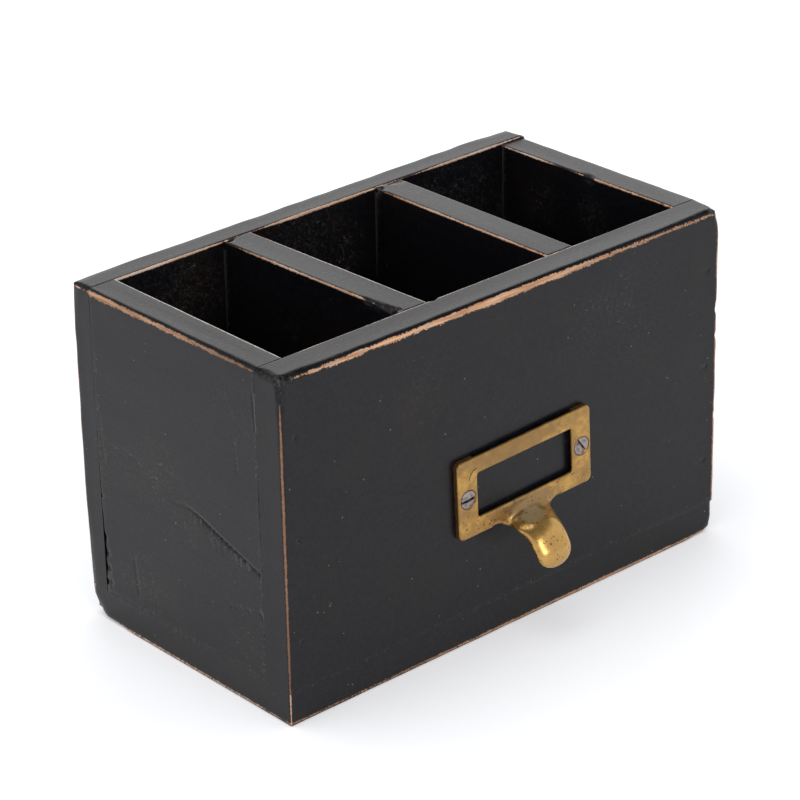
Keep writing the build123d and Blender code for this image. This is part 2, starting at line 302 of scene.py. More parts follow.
def painted_wood(name, grain_stretch):
    """Satin black paint over wood whose grain runs along the stretched axis."""
    material = new_material(name)
    tree = material.node_tree
    place = add(tree, "TexCoord", {}).outputs["Object"]
    noises = paint_noises(tree, place, grain_stretch)
    marks = {}
    for mark in mark_names:
        marks[mark] = add(tree, "Attribute", {}, attribute_name=mark).outputs["Fac"]
    wood, wood_shows, fringe_shows = bare_wood(tree, noises, marks)
    colour, shaded_scars = paint_coat(tree, place, noises, marks)
    for share, layer in ((fringe_shows, linear("#5A3A28")), (wood_shows, wood)):
        sockets = {"Factor": share, under: colour, over: layer}
        colour = add(tree, "Mix", sockets, data_type="RGBA").outputs[mixed]
    sockets = {"Value": noises["brush"], "From Min": 0.3, "From Max": 0.7,
               "To Min": 0.27, "To Max": 0.36}
    sheen = add(tree, "MapRange", sockets).outputs[0]
    dull = add(tree, "Math", {0: wood_shows, 1: shaded_scars}, operation="MAXIMUM").outputs[0]
    sockets = {"Value": dull, "To Min": sheen, "To Max": dull_wood}
    rough = add(tree, "MapRange", sockets).outputs[0]
    sockets = {0: noises["film"], 1: 0.7, 2: noises["grain"]}
    relief = add(tree, "Math", sockets, operation="MULTIPLY_ADD").outputs[0]
    sockets = {0: wood_shows, 1: -0.9, 2: relief}
    relief = add(tree, "Math", sockets, operation="MULTIPLY_ADD").outputs[0]
    sockets = {"Height": relief, "Strength": 0.4, "Distance": relief_depth}
    bump = add(tree, "Bump", sockets).outputs[0]
    sockets = {"Base Color": colour, "Roughness": rough, "IOR": paint_ior, "Normal": bump}
    surface = add(tree, "BsdfPrincipled", sockets).outputs[0]
    add(tree, "OutputMaterial", {"Surface": surface})
    return material


paint_along_x = painted_wood("black_paint_on_long_boards", (long_grain, 1, 1))
paint_along_y = painted_wood("black_paint_on_cross_boards", (1, long_grain, 1))
print("paint:", len(paint_along_x.node_tree.nodes), "nodes")

# %% [markdown]
# ## Board blanks
# A worn board isn't a clean block, so each starts as a cube cut into rows of vertices. The rows lie
# close together near the arrises and the nails, where the shape changes, and further apart between
# them. The cuts are even, and then every row is moved to its place along the board.

# %% Blanks
fine_step = 0.4 * mm
fine_reach = 4.0 * mm
coarse_step = 2.0 * mm
nail_reach = 2.0 * mm       # fine rows on each side of a nail


def rows_along(length, step, nail_places):
    """Places of the rows across a board: close together near its two ends and near the nails."""
    rows = [0.0]
    while rows[-1] < length - fine_step / 2:
        here = rows[-1]
        near_end = min(here, length - here) < fine_reach
        near_nail = any(abs(here - nail) < nail_reach for nail in nail_places)
        rows.append(here + (fine_step if near_end or near_nail else step))
    return [row * length / rows[-1] for row in rows]


def blank(low, high, step, nails):
    """A block between two corners, cut into rows."""
    block = bmesh.new()
    bmesh.ops.create_cube(block, size=1.0)
    bmesh.ops.translate(block, verts=block.verts, vec=(0.5, 0.5, 0.5))
    for axis in range(3):
        rows = rows_along(high[axis] - low[axis], step, [nail[axis] - low[axis] for nail in nails])
        other = [way for way in range(3) if way != axis]
        along = []
        for edge in block.edges:
            run = edge.verts[1].co - edge.verts[0].co
            if abs(run[axis]) > max(abs(run[way]) for way in other):
                along.append(edge)
        bmesh.ops.subdivide_edges(block, edges=along, cuts=len(rows) - 2, use_grid_fill=True)
        for vert in block.verts:
            vert.co[axis] = rows[round(vert.co[axis] * (len(rows) - 1))]
    bmesh.ops.translate(block, verts=block.verts, vec=low)
    return block


print("rows:", fine_step / mm, "to", coarse_step / mm, "mm apart")

# %% [markdown]
# ## Rounding
# A board has six sides, and an arris is where two of them meet. Each arris has its own radius, in
# millimetres: large on the outside, where hands and shelves rub it, and small towards the bays. An
# arris in a tight joint has none and stays sharp. A radius that changes along an arris is a list,
# spread evenly over its length. A bevel gives an arris one width from end to end, so the vertices are
# moved onto the rounds instead. One arris is rounded after another, the largest first, so that each
# round starts from the shape that the one before it left.

# %% Sides and arrises
left, right = (0, -1), (0, 1)
front, back = (1, -1), (1, 1)
below, top = (2, -1), (2, 1)
all_sides = [left, right, front, back, below, top]
outer_round = 2.0
inner_round = 0.6


def gap_to(place, side, low, high):
    """How far a place lies inside one side of a board."""
    axis, way = side
    return place[axis] - low[axis] if way < 0 else high[axis] - place[axis]


def along_share(values, share):
    """Read a list of values, spread evenly from one end of an arris to the other."""
    if not isinstance(values, list):
        return values
    spot = max(0.0, min(1.0, share)) * (len(values) - 1)
    index = min(int(spot), len(values) - 2)
    return values[index] + (values[index + 1] - values[index]) * (spot - index)


def roll(place, arris, radius, low, high):
    """Move a place near an arris onto its round."""
    into = [radius - gap_to(place, side, low, high) for side in arris]
    reach = hypot(*into)
    if min(into) > 0 and reach > radius:
        for (axis, way), off in zip(arris, into):
            place[axis] += way * off * (radius / reach - 1)


print(len(all_sides), "sides, each an axis and a way along it")

# %% [markdown]
# ## Stripes and hollows
# A stripe of wear lies along an arris, leaning to one of its two sides. It has half-widths along its
# length, a share of brown and a share of fraying. Brown below zero is pale, and on some inner arrises
# that pale line is a painted highlight. The faces were planed by hand, so each is hollow in slow waves
# that run out towards the joints. Both read noise, moved on for every board.

# %% Stripes and hollows
far_off = -9.0              # millimetres outside any stripe or crack
ripple_length = 7.0 * mm
ripple_share = 0.4          # how much a stripe's width wavers
face_hollow = 0.14 * mm     # how deep a hand-planed face is hollowed
hollow_length = 30.0 * mm
hollow_margin = 8.0 * mm    # hollows run out this far from a joint


def stripe_at(place, gaps, shares, wear, shift):
    """How many millimetres a place lies inside its nearest stripe, and that stripe's brown and fray;
    below zero the brown is pale, on some inner arrises a painted highlight.
    """
    nearest = (far_off, 0.0, 0.0)
    for (face, other), lean, widths, browns_and_highlights, frays in wear:
        if min(gaps[face], gaps[other]) > fine_step / 2:
            continue
        share = shares[3 - face[0] - other[0]]
        unrolled = (gaps[other] - gaps[face]) / mm
        ripple = 1 + ripple_share * frays * noise.noise(place / ripple_length + shift)
        inside = along_share(widths, share) * ripple - abs(unrolled - along_share(lean, share))
        if inside > nearest[0]:
            nearest = (inside, along_share(browns_and_highlights, share), frays)
    return nearest


def hollow_sides(place, low, high, gaps, ends, shift):
    """Move a place in with its hollow sides, and give the hollowed board's corners there."""
    inner_low, inner_high = low.copy(), high.copy()
    for count, (axis, way) in enumerate(all_sides):
        if gaps[(axis, way)] > fine_reach:
            continue
        margin = min(ends[other] for other in range(3) if other != axis)
        wave = noise.noise(place / hollow_length + shift + Vector((0, 0, count)))
        hollow = face_hollow * (0.5 + 0.5 * wave) * min(1.0, margin / hollow_margin)
        if way < 0:
            inner_low[axis] += hollow
        else:
            inner_high[axis] -= hollow
        if gaps[(axis, way)] < fine_step / 4:
            place[axis] -= way * hollow
    return inner_low, inner_high


print("hollows up to", face_hollow / mm, "mm deep")

# %% [markdown]
# ## A worn board
# A joint that has opened is a torn round with shade painted into it, and beside some joints the
# paint is fretted; along the inner back corners the same marks paint a highlight. Chips bite into the
# arrises, and some of them have shade painted inside. Scuffs are patches of scratches, and a dent lies
# over each punched nail, with shade painted in it. All of these move vertices or set the marks that
# the paint reads.

# %% A worn board
seed_steps = (17.3, 5.1, 9.7)
swell_share = 0.25          # how much a round's radius wavers
tear_length = 1.7 * mm
tear_share = 0.9            # how much a torn joint wavers over that length
tear_drift = 0.7            # and over a ripple's length
# Fretting reaches this far from a joint, and so do the highlights painted along the inner back corners
fret_reach = 2.6 * mm       # how far from a joint the paint is fretted
own_face = 4                # a scuff reaches this much less through a board than along it
chip_roughness = 0.35 * mm
chip_clears = 2.0           # millimetres by which a dark chip pushes a stripe back
chip_shade = 0.3
chip_flecks = 0.8
dent_depth = 0.25 * mm      # over a punched and filled nail
dent_radius = 1.0 * mm
dent_shade = 0.1


def worn_board(low, high, seed, rounds, wear, opened=None, fretting_and_highlights=None, step=coarse_step,
               nails=(), nail_side=None, scuffs=(), chips=()):
    """A board with rounded arrises, hollow faces, nail dents, open joints and stripes of bare wood."""
    opened = opened or {}
    fretting_and_highlights = fretting_and_highlights or {}
    block = blank(low, high, step, nails)
    bare, soil_and_highlight, fray, scar_shade, scuff_and_highlight = [block.verts.layers.float.new(name) for name in mark_names]
    radii = {**rounds, **opened}
    chips = [(Vector(spot) * mm, reach * mm, depth * mm, dark) for spot, reach, depth, dark in chips]
    scuffs = [(Vector(spot) * mm, reach * mm, amount) for spot, reach, amount in scuffs]
    largest_first = sorted(radii, key=lambda arris: along_share(radii[arris], 0.5), reverse=True)
    shift = Vector([seed * part for part in seed_steps])
    thin_axis = min(range(3), key=lambda axis: high[axis] - low[axis])
    for vert in block.verts:
        place = vert.co.copy()
        shares = [(place[axis] - low[axis]) / (high[axis] - low[axis]) for axis in range(3)]
        gaps = {side: gap_to(place, side, low, high) for side in all_sides}
        ends = [min(gaps[(axis, -1)], gaps[(axis, 1)]) for axis in range(3)]
        near_arris = sorted(ends)[1] < fine_reach
        vert[bare] = vert[scar_shade] = far_off
        for spot, reach, amount in scuffs:
            apart = place - spot
            apart[thin_axis] *= own_face
            vert[scuff_and_highlight] += amount * max(0.0, 1 - apart.length / reach)
        for (side, other), amounts in fretting_and_highlights.items():
            amount = along_share(amounts, shares[3 - side[0] - other[0]])
            vert[scuff_and_highlight] += amount * max(0.0, 1 - hypot(gaps[side], gaps[other]) / fret_reach)
        if near_arris:
            vert[bare], vert[soil_and_highlight], vert[fray] = stripe_at(place, gaps, shares, wear, shift)
        inner_low, inner_high = hollow_sides(place, low, high, gaps, ends, shift)
        # The rounds, and the torn ones of joints that have opened
        swell = 1 + swell_share * noise.noise(place / ripple_length - shift)
        tear = 1 + tear_share * noise.noise(place / tear_length + shift)
        tear += tear_drift * noise.noise(place / ripple_length)
        for side, other in largest_first if near_arris else ():
            radius = along_share(radii[(side, other)], shares[3 - side[0] - other[0]])
            radius *= tear if (side, other) in opened else swell
            roll(place, (side, other), radius * mm, inner_low, inner_high)
            if (side, other) in opened:
                vert[scar_shade] = max(vert[scar_shade], radius - hypot(gaps[side], gaps[other]) / mm)
        for spot, reach, depth, dark in chips:
            apart = (vert.co - spot).length / reach
            if apart < 1:
                bite = (depth + chip_roughness * noise.noise(vert.co / tear_length)) * (1 - apart**2)
                for axis, way in all_sides:
                    if gaps[(axis, way)] < reach:
                        place[axis] -= way * bite
                vert[bare] -= chip_clears * dark * (1 - apart)
                vert[scar_shade] = max(vert[scar_shade], chip_shade * dark - apart)
                vert[scuff_and_highlight] += chip_flecks * dark * apart
        vert.co = place
        for nail in nails:
            apart = (vert.co - nail).length / dent_radius
            if apart < 1:
                axis, way = nail_side
                vert.co[axis] -= way * dent_depth * (1 - apart**2)
                vert[scar_shade] = dent_shade - apart
    return block


print("dents over the nails:", dent_depth / mm, "mm deep")

# %% [markdown]
# ## Finished pieces
# A finished mesh becomes an object at the origin, unturned, because its place is in its mesh. It rides
# on the box's one body, stands for a node of the imported model, which it hides, and carries its own
# material.

# %% Finished pieces
sharp_angle = radians(38)


def settle(block, name, node, material):
    """Make the finished mesh an object that stands for its node."""
    mesh = bpy.data.meshes.new(name)
    block.to_mesh(mesh)
    block.free()
    mesh.materials.append(material)
    mesh.shade_smooth()
    mesh.set_sharp_from_angle(angle=sharp_angle)
    piece = bpy.data.objects.new(name, mesh)
    bpy.context.scene.collection.objects.link(piece)
    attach(piece, "root")
    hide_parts(node)
    print(name, len(mesh.polygons), "faces")
    return piece


print("edges past", round(sharp_angle, 2), "radians stay sharp")

# %% [markdown]
# ## The boards
# Each board says which arrises are open to the hand, which joints have opened, and where the paint
# is rubbed through, fretted, chipped or scuffed, and where highlights and shade are painted. Lists
# run from left to right, from front to back, or from the bottom up. A stripe is an arris, how far it
# leans in millimetres, half-widths, browns and a fray; a brown below zero is pale, and on some inner
# arrises that is a painted highlight. A chip is a place, a reach, a depth and 1 if it is dark inside,
# with painted shade; a scuff is a place, a reach and an amount. The fretting along the inner back
# corners is a painted highlight. The rows were read off the object one arris at a time.

# %% Boards
nail_rows = [30.0, 67.0, 104.0]
nail_across = 94.25
base_nails = [(-74, -48), (0, -48), (74, -48), (-74, 49), (0, 49), (74, 49),
              (-nail_across, 1), (nail_across, 1)]
box_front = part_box("front_panel")[0].y
box_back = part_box("back_panel")[1].y
end_places = [(side * nail_across * mm, row * mm) for side in (-1, 1) for row in nail_rows]

boards = {
    "front_panel": dict(
        rounds={
            (front, top): [3.0, 2.1, 2.0, 2.0, 2.0, 2.0, 2.0, 2.0, 1.9, 1.9, 3.4],
            (left, front): [0.9, 0.9, 0.9, 1.0, 1.1, 1.2, 1.4, 3.0],
            (right, front): [1.3] * 11 + [3.4],
            (left, top): [3.0, 2.4, 2.0], (right, top): [3.4, 2.6, 2.0], (back, top): inner_round,
        },
        wear=[
            ((front, top), 1.5,
             [-0.2, 0.6, 0.9, 1.05, 1.1, 1.2, 1.3, 1.25, 1.1, 0.85, 0.6, 0.45, 0.4, 0.35],
             [0.1, 0.0, 0.0, 0.05, 0.15, 0.4, 0.55, 0.5], 1.0),
            ((left, front), 0.0, [0.35, 0.45, 0.5, 0.5, 0.55, 0.6, 0.6, 0.55, 0.4, -0.6],
             [0.95, 0.9, 0.8, 0.8, 0.8, 0.75, 0.6], 0.35),
            ((front, right), 0.9, [0.5, 0.45, 0.5, 0.55, 0.2, 0.5, 0.5, 0.1, 0.5, 0.4, -0.6], 0.3, 0.5),
            ((right, top), 1.2, [0.2, 0.5, 0.5], 0.3, 1.0),
            # This pale stripe on the inner arris is a painted highlight
            ((top, back), 0.25, [-1.2, 0.42, 0.2, 0.42, 0.4, 0.3, 0.42, 0.4, 0.1, 0.3, -1.2],
             -0.8, 0.4),
        ],
        fretting_and_highlights={(left, top): [0.9, 0.7, 0.3], (left, front): [0.5, 0.1, 0.1, 0.2, 0.8],
                 (front, below): [0.4, 0.6, 0.5, 0.8, 1.0, 1.2, 1.2, 1.0, 1.3, 1.2]},
        nails=[Vector((x, box_front, z)) for x, z in end_places], nail_side=front,
        chips=[
            ((-99, -53, 125), 2.6, 0.3, 1), ((-96, -54, 125), 2.0, 0.3, 1),
            ((-99, -47, 125), 2.4, 0.3, 1), ((-100, -54, 119), 1.8, 0.3, 1),
            ((-24, -42, 126), 1.2, 0.4, 1), ((-29, -54, 100), 0.9, 0.2, 1),
            ((100, -54, 88), 1.8, 0.5, 1), ((100, -54, 77), 1.5, 0.4, 1),
            ((100, -54, 46), 1.2, 0.3, 1), ((100, -54, 126), 5.0, 0.4, 0),
        ],
        scuffs=[
            ((52, -54, 104), 34, 0.4), ((-40, -54, 106), 22, 0.25),
            ((30, -54, 95), 14, 0.25), ((80, -54, 60), 40, 0.2),
        ],
    ),
    "back_panel": dict(
        rounds={
            (back, top): [2.8] + [2.0] * 9 + [3.6],
            (left, back): [3.4, 2.4, 1.8, 1.8, 1.8, 1.8, 1.8, 2.8], (right, back): [1.8] * 11 + [3.6],
            (left, top): outer_round, (right, top): [2.4, 3.0, 3.6], (front, top): inner_round,
        },
        wear=[
            ((back, top), 1.5, [0.3, 0.8, 0.6, 0.9, 1.0, 0.7, 0.9, 0.5], 0.2, 1.0),
            ((left, back), 0.9, [0.6, 0.5, 0.3, 0.5, 0.4, 0.2], 0.6, 0.6),
            ((right, back), 0.4, [0.4, 0.5, 0.6, 0.5, 0.4, 0.2], 0.6, 0.6),
            ((left, top), 1.3, [0.15, 0.2, 0.15], -0.3, 0.8),
            ((right, top), 1.2, [0.3, 0.4, 0.2], 0.2, 1.0),
            ((front, top), 0.35,
             [0.1, 0.6, 0.65, 0.6, 0.3, 0.1, 0.65, 0.65, 0.6, 0.4, 0.0, 0.5, 0.6, 0.5, 0.1],
             [-0.7, -0.4, -0.3, -0.2, -0.4, -0.6], 0.35),
        ],
        fretting_and_highlights={(left, top): 0.4},
        nails=[Vector((x, box_back, z)) for x, z in end_places], nail_side=back,
        scuffs=[
            ((-20, 54, 70), 50, 0.3), ((-66, 44, 108), 30, 1.1),
            ((-4, 44, 110), 30, 1.0), ((62, 44, 104), 34, 1.0),
        ],
    ),
    "left_side": dict(
        rounds={(left, top): [2.2, 1.8, 1.5, 1.3, 1.3], (right, top): inner_round},
        opened={
            (left, back): [
                0.9, 1.1, 1.1, 0.8, 0.5, 0.3, 0.2, 0.12, 0.2, 0.08, 0.2, 0.06, 0.2, 0.1, 0.24, 0.26,
            ],
            (left, front): [0.08, 0.06, 0.14, 0.06, 0.1, 0.14, 0.26, 0.3, 0.1, 0.14, 0.18, 0.22, 0.16],
            (left, below): [0.02] * 7 + [0.06, 0.03, 0.08, 0.1, 0.2],
        },
        fretting_and_highlights={(left, back): [1.4, 1.4, 1.2, 0.9, 1.0, 0.8, 1.0],
                 (left, front): [0.7, 0.9, 0.6, 0.8, 1.1, 1.2],
                 (left, below): [0.5, 0.4, 0.5, 0.8, 1.0]},
        wear=[
            ((left, top), 1.3, [0.25, 0.4, 0.6, 0.75, 0.8, 0.85, 0.95, 1.1, 1.0],
             [0.95, 0.8, 0.55, 0.4, 0.35, 0.3, 0.2], 0.8),
            # This pale stripe on the inner arris is a painted highlight
            ((top, right), 0.25, [0.4, 0.48, 0.46, 0.5, 0.46, 0.48, 0.4], -1.0, 0.3),
        ],
        chips=[
            ((-100, 43.2, 33), 1.6, 0.3, 1), ((-100, 42.6, 27.5), 2.2, 0.3, 1),
            ((-100, 42.8, 21.5), 2.4, 0.4, 1), ((-100, 42.4, 16.5), 2.6, 0.4, 1),
            ((-100, 43.4, 49), 1.2, 0.2, 1),
        ],
        scuffs=[
            ((-100, -30, 108), 20, 0.3), ((-100, 25, 25), 16, 0.35),
            ((-100, 10, 60), 70, 0.28), ((-100, -30, 30), 26, 0.25),
        ],
        step=0.7 * mm,
    ),
    "right_side": dict(
        rounds={(right, top): outer_round, (left, top): inner_round},
        wear=[
            ((right, top), 1.5, [0.6, 0.9, 0.8, 1.0, 0.7, 0.6], 0.2, 1.0),
            ((left, top), 0.3, [0.35, 0.4, 0.4, 0.5, 0.45, -0.2, 0.45, 0.45, 0.2],
             [0.0, -0.1, -0.4, -0.6], 0.35),
        ],
        # The fretting along the inner back corner is a painted highlight
        fretting_and_highlights={(left, back): [0.0, 0.0, 0.0, 0.6, 1.8, 2.2]},
        chips=[((88.5, -0.6, 125.4), 2.2, 0.7, 1)],
        scuffs=[((88.5, -2, 112), 12, 0.9), ((88.5, -3, 98), 6, 0.9), ((88.5, 22, 108), 14, 0.5)],
    ),
    "bottom_board": dict(
        rounds={
            (front, below): [0.8] * 15 + [2.8], (back, below): [4.0, 3.4] + [1.4] * 14,
            (left, below): [0.8] * 8 + [2.4, 4.0], (right, below): [2.8] + [1.6] * 8,
            (left, front): 0.9, (right, front): 2.8,
            (left, back): [4.0, 4.0, 3.6], (right, back): outer_round,
        },
        wear=[
            ((front, below), 1.0, [0.2, 0.25, 0.3, 0.35, 0.45, 0.5, 0.5, 0.45, 0.4],
             [0.5, 0.5, 0.35, 0.3], 0.6),
            ((left, below), 1.0, [0.2, 0.3, 0.34, 0.34, 0.3], [-0.2, -0.1, -0.3], 0.5),
            ((right, below), 0.6, [0.5, 0.4, 0.5, 0.3], 0.4, 1.0),
            ((back, below), 0.6, [0.4, 0.5, 0.6, 0.3], 0.4, 1.0),
            ((left, front), 0.0, [0.3, 0.4, 0.4], [0.1, -0.2, -0.3], 0.3),
            ((left, top), 0.3, [-1.0] * 9 + [-0.4, 0.35], -0.7, 0.6),
            ((left, back), 3.0, [-0.5, 0.1, 0.3], -0.5, 0.8),
        ],
        fretting_and_highlights={(left, top): [0.2, 0.2, 0.5, 0.9]},
        nails=[Vector((x, y, 0)) * mm for x, y in base_nails], nail_side=below,
        chips=[((-100, 54, 0), 8.0, 1.2, 0), ((100, -54, 0), 5.0, 0.5, 0)],
        scuffs=[((0, 0, 0), 120, 0.3)],
    ),
    "left_divider": dict(
        rounds={(left, top): inner_round, (right, top): inner_round},
        opened={(back, top): [2.2, 1.2, 0.4, 0.3], (front, top): [0.3, 0.2, 0.2]},
        # The fretting along the inner back corner is a painted highlight
        fretting_and_highlights={(back, top): 0.8, (left, back): [0.0, 0.0, 0.0, 0.8, 2.2, 2.4]},
        chips=[
            ((-41.6, -27.5, 126), 2.6, 0.7, 1), ((-40.8, -32, 126), 2.2, 0.5, 1),
            ((-40.8, -36, 126), 2.4, 0.6, 1), ((-40.4, -40, 126), 2.6, 0.7, 1),
            ((-38.8, 43, 126), 1.8, 0.5, 1),
        ],
        scuffs=[((-39, 12, 104), 11, 0.9), ((-39, 22, 112), 12, 0.6)],
        wear=[
            ((left, top), 0.35, [0.3, 0.5, 0.58, 0.5, 0.46, 0.5, 0.3, -0.3],
             [0.2, -0.2, -0.4, 0.1], 0.4),
            # This pale stripe on the inner arris is a painted highlight
            ((top, right), 0.25, [0.4, 0.44, 0.46, 0.44, 0.4, 0.2], -1.0, 0.3),
        ],
    ),
    "right_divider": dict(
        rounds={(left, top): inner_round, (right, top): inner_round},
        opened={(back, top): [1.8, 1.4, 1.0, 0.8], (front, top): [0.2, 0.3, 0.2]},
        # The fretting along the inner back corner is a painted highlight
        fretting_and_highlights={(back, top): 1.0, (left, back): [0.0, 0.0, 0.0, 0.8, 2.0, 2.2]},
        chips=[((27.5, 42, 126), 2.2, 0.5, 1), ((37, 42.5, 126), 2.4, 0.5, 1)],
        wear=[
            ((left, top), 0.3, [0.35, 0.42, 0.5, 0.45, 0.42, 0.5, 0.4, -0.2],
             [0.0, -0.2, -0.3, 0.2], 0.4),
            # This pale stripe on the inner arris is a painted highlight
            ((top, right), 0.2, [0.1, -0.1, 0.1, 0.0, 0.12, 0.1], -0.6, 0.6),
        ],
    ),
}
print("boards:", ", ".join(boards))

# %% [markdown]
# ## Boards at their sizes
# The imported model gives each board's box. The dividers were set by eye and stand askew, and the right
# side falls a little towards the back, so those boards are made straight and then sheared.

# %% Boards at their sizes
divider_thickness = 12.0 * mm
divider_lean = {"left_divider": -3.6 * mm, "right_divider": -1.3 * mm}
right_side_drop = 1.0 * mm
blocks = {}
for seed, (node, wanted) in enumerate(boards.items()):
    low, high = [Vector(corner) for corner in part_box(node)]
    lean = divider_lean.get(node, 0)
    if lean:
        middle = (low.x + high.x) / 2
        low.x = middle - divider_thickness / 2
        high.x = middle + divider_thickness / 2
    block = worn_board(low, high, seed, **wanted)
    for vert in block.verts:
        depth_share = (vert.co.y - low.y) / (high.y - low.y)
        vert.co.x += lean * (depth_share - 0.5)
        if node == "right_side":
            vert.co.z -= right_side_drop * depth_share * (vert.co.z - low.z) / (high.z - low.z)
    blocks[node] = block
    print(node, len(block.verts), "vertices")

# %% [markdown]
# ## The gouged left board
# Something hard once slid down the left side. It cut a line and tore the fibres under it. Each mark
# is a broken line on the board's outer face, given by places towards the back and up, in
# millimetres. Vertices near a line sink. Shade is painted into the cut, into the deepest torn strands
# and into the scratches, and highlights are painted on the lip below the cut and on the other strands.

# %% The gouge and the scratches
gouge = [(4.6, 61.4), (-3.8, 62.6), (-10.5, 60.9), (-21.0, 57.3), (-31.5, 54.2), (-41.2, 51.4)]
gouge_depths = [0.1, 0.25, 0.6, 0.7, 0.6, 0.5]
tear_foot = [(4.6, 60.9), (-3.4, 60.2), (-11.3, 55.0), (-20.5, 50.8), (-29.8, 48.9), (-41.2, 50.6)]
scratches = [
    # a broken line, its width and its depth
    ([(-24.7, 33.5), (-40.9, 37.3)], 0.5, 0.2),
    ([(-40.9, 37.3), (-41.6, 33.9)], 0.5, 0.2),
    ([(27.2, 31.4), (26.4, 24.0), (25.6, 17.9)], 0.8, 0.15),
    ([(23.3, 12.4), (14.3, 15.4)], 0.5, 0.15),
    ([(-40.6, 116.0), (-41.2, 104.0)], 0.7, 0.2),
    ([(42.8, 84.0), (40.8, 62.0)], 0.6, 0.06),
    ([(36.0, 70.5), (29.0, 71.5), (22.0, 70.0)], 0.6, 0.06),
    ([(-30.0, 97.0), (-31.5, 84.0)], 0.5, 0.08),
]
gouge_width = 0.8
tear_depth = 0.45
strand_width = 0.8
strand_length = 7.0
# A highlight is painted on the lip below the cut, and highlights and shade on the torn strands
lip_width = 0.7             # a bright lip along the lower edge of the cut
strand_slant = 3            # strands fall this many times further than they lean
strand_highlights = 3.6
strand_shade = 0.4           # only the deepest strands are dark
scratch_flecks = 0.5
scratch_halo = 3            # times a scratch's width


def line_value(line, across, values):
    """A value along a broken line, at a place across the board, or None beyond its ends."""
    for (start, _), (end, _), first, last in zip(line, line[1:], values, values[1:]):
        if end <= across <= start:
            return first + (last - first) * (start - across) / (start - end)
    return None


def off_line(spot, line):
    """How far a spot lies from a broken line."""
    gaps = []
    for start, end in zip(line, line[1:]):
        start, end = Vector(start), Vector(end)
        share = geometry.intersect_point_line(spot, start, end)[1]
        gaps.append((spot - start.lerp(end, min(max(share, 0), 1))).length)
    return min(gaps)


block = blocks["left_side"]
scar_shade, scuff_and_highlight = [block.verts.layers.float[name] for name in ("scar_shade", "scuff_and_highlight")]
outer_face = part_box("left_side")[0].x
for vert in block.verts:
    if vert.co.x > outer_face + face_hollow * 2:
        continue
    spot = Vector((vert.co.y, vert.co.z)) / mm
    cut = off_line(spot, gouge)
    sunk = 0.0
    depth = line_value(gouge, spot.x, gouge_depths)
    if depth is not None:
        upper = line_value(gouge, spot.x, [up for _, up in gouge])
        lower = line_value(tear_foot, spot.x, [up for _, up in tear_foot])
        sunk = depth * max(0.0, 1 - cut / gouge_width)
        vert[scar_shade] = max(vert[scar_shade], depth / 2 - cut)
        # A painted highlight on the lip just below the cut
        if cut > gouge_width and 0 < upper - spot.y < gouge_width + lip_width:
            vert[scuff_and_highlight] += depth
        # Torn strands: the light ones are painted highlights, the deepest dark ones painted shade
        if lower < spot.y < upper:
            fall = (upper - spot.y) / (upper - lower)
            slant = spot.x + (upper - spot.y) / strand_slant
            strand = noise.noise(Vector((slant / strand_width, spot.y / strand_length, 0)))
            sunk = max(sunk, tear_depth * (1 - fall) * max(0.0, strand))
            vert[scuff_and_highlight] += strand_highlights * (1 - fall / 2) * max(0.0, -strand)
            vert[scar_shade] = max(vert[scar_shade], (strand - strand_shade) * (1 - fall))
    for line, width, depth in scratches:
        near = off_line(spot, line)
        sunk = max(sunk, depth * (1 - near / width))
        vert[scar_shade] = max(vert[scar_shade], depth - near)
        vert[scuff_and_highlight] += scratch_flecks * max(0.0, 1 - near / width / scratch_halo)
    vert.co.x += sunk * mm
print("gouge:", len(gouge), "points")

# %% [markdown]
# ## Boards on the frame
# The long boards have their grain from left to right and the cross boards from front to back, so there
# are two paints, alike but for the way their streaks run.

# %% Boards on the frame
cross_boards = ("left_side", "right_side", "left_divider", "right_divider")
for node, block in blocks.items():
    material = paint_along_y if node in cross_boards else paint_along_x
    settle(block, "worn_" + node, node, material)

# %% [markdown]
# ## Old brass
# The pull was cast in brass, filed on its face and handled for decades. Metal shows mostly what it
# reflects, so its colour is in the reflection. Tarnish turns it brown where no finger rubs: on the
# edges, and on the lower bar round the root of the tongue. Patterns are set out from the pull's own
# middle and turned with it, so each patch can be given its place on the casting.

# %% Brass colours
pull_middle = Vector((4.2, -54.0, 57.6)) * mm
pull_tilt = radians(2.0)
frame_face = -2.4 * mm      # the frame's front, out from the board
edge_start = frame_face * 0.95  # tarnish begins just behind the face
edge_full = frame_face * 0.6
# Past these the tongue is polished, and its lighter colour there is also painted light
polish_and_light_start = -4.0 * mm    # fingers have polished what lies further out than this
polish_and_light_full = -9.0 * mm
polish_and_light_share = 0.4
brass_sizes = {             # size of each noise, and its detail
    "blotch": (7.0 * mm, 2.0),
    "mottle": (2.6 * mm, 4.0),
    "casting": (0.7 * mm, 3.0),
}
patches = {                 # ragged ovals: middle, reach, colour and share
    "top_bar": ((-4.0 * mm, frame_face, 12.0 * mm), (24 * mm, 4 * mm, 5.0 * mm), "#85673D", 0.75),
    "tarnish": ((-1.0 * mm, frame_face, -11.5 * mm), (14 * mm, 4 * mm, 4.5 * mm), "#866C48", 0.85),
    "grime": ((-0.5 * mm, -6.5 * mm, -14.5 * mm), (5.5 * mm, 4 * mm, 4 * mm), "#93805F", 0.9),
}

brass = new_material("old_cast_brass")
tree = brass.node_tree
place = add(tree, "TexCoord", {}).outputs["Object"]
sockets = {"Vector": place, "Location": pull_middle, "Rotation": (0, -pull_tilt, 0)}
own = add(tree, "Mapping", sockets, vector_type="TEXTURE").outputs[0]
own_axes = add(tree, "SeparateXYZ", {"Vector": own}).outputs
noises = {}
for name, (size, detail) in brass_sizes.items():
    sockets = {"Vector": own, "Scale": 1 / size, "Detail": detail}
    noises[name] = add(tree, "TexNoise", sockets).outputs[0]
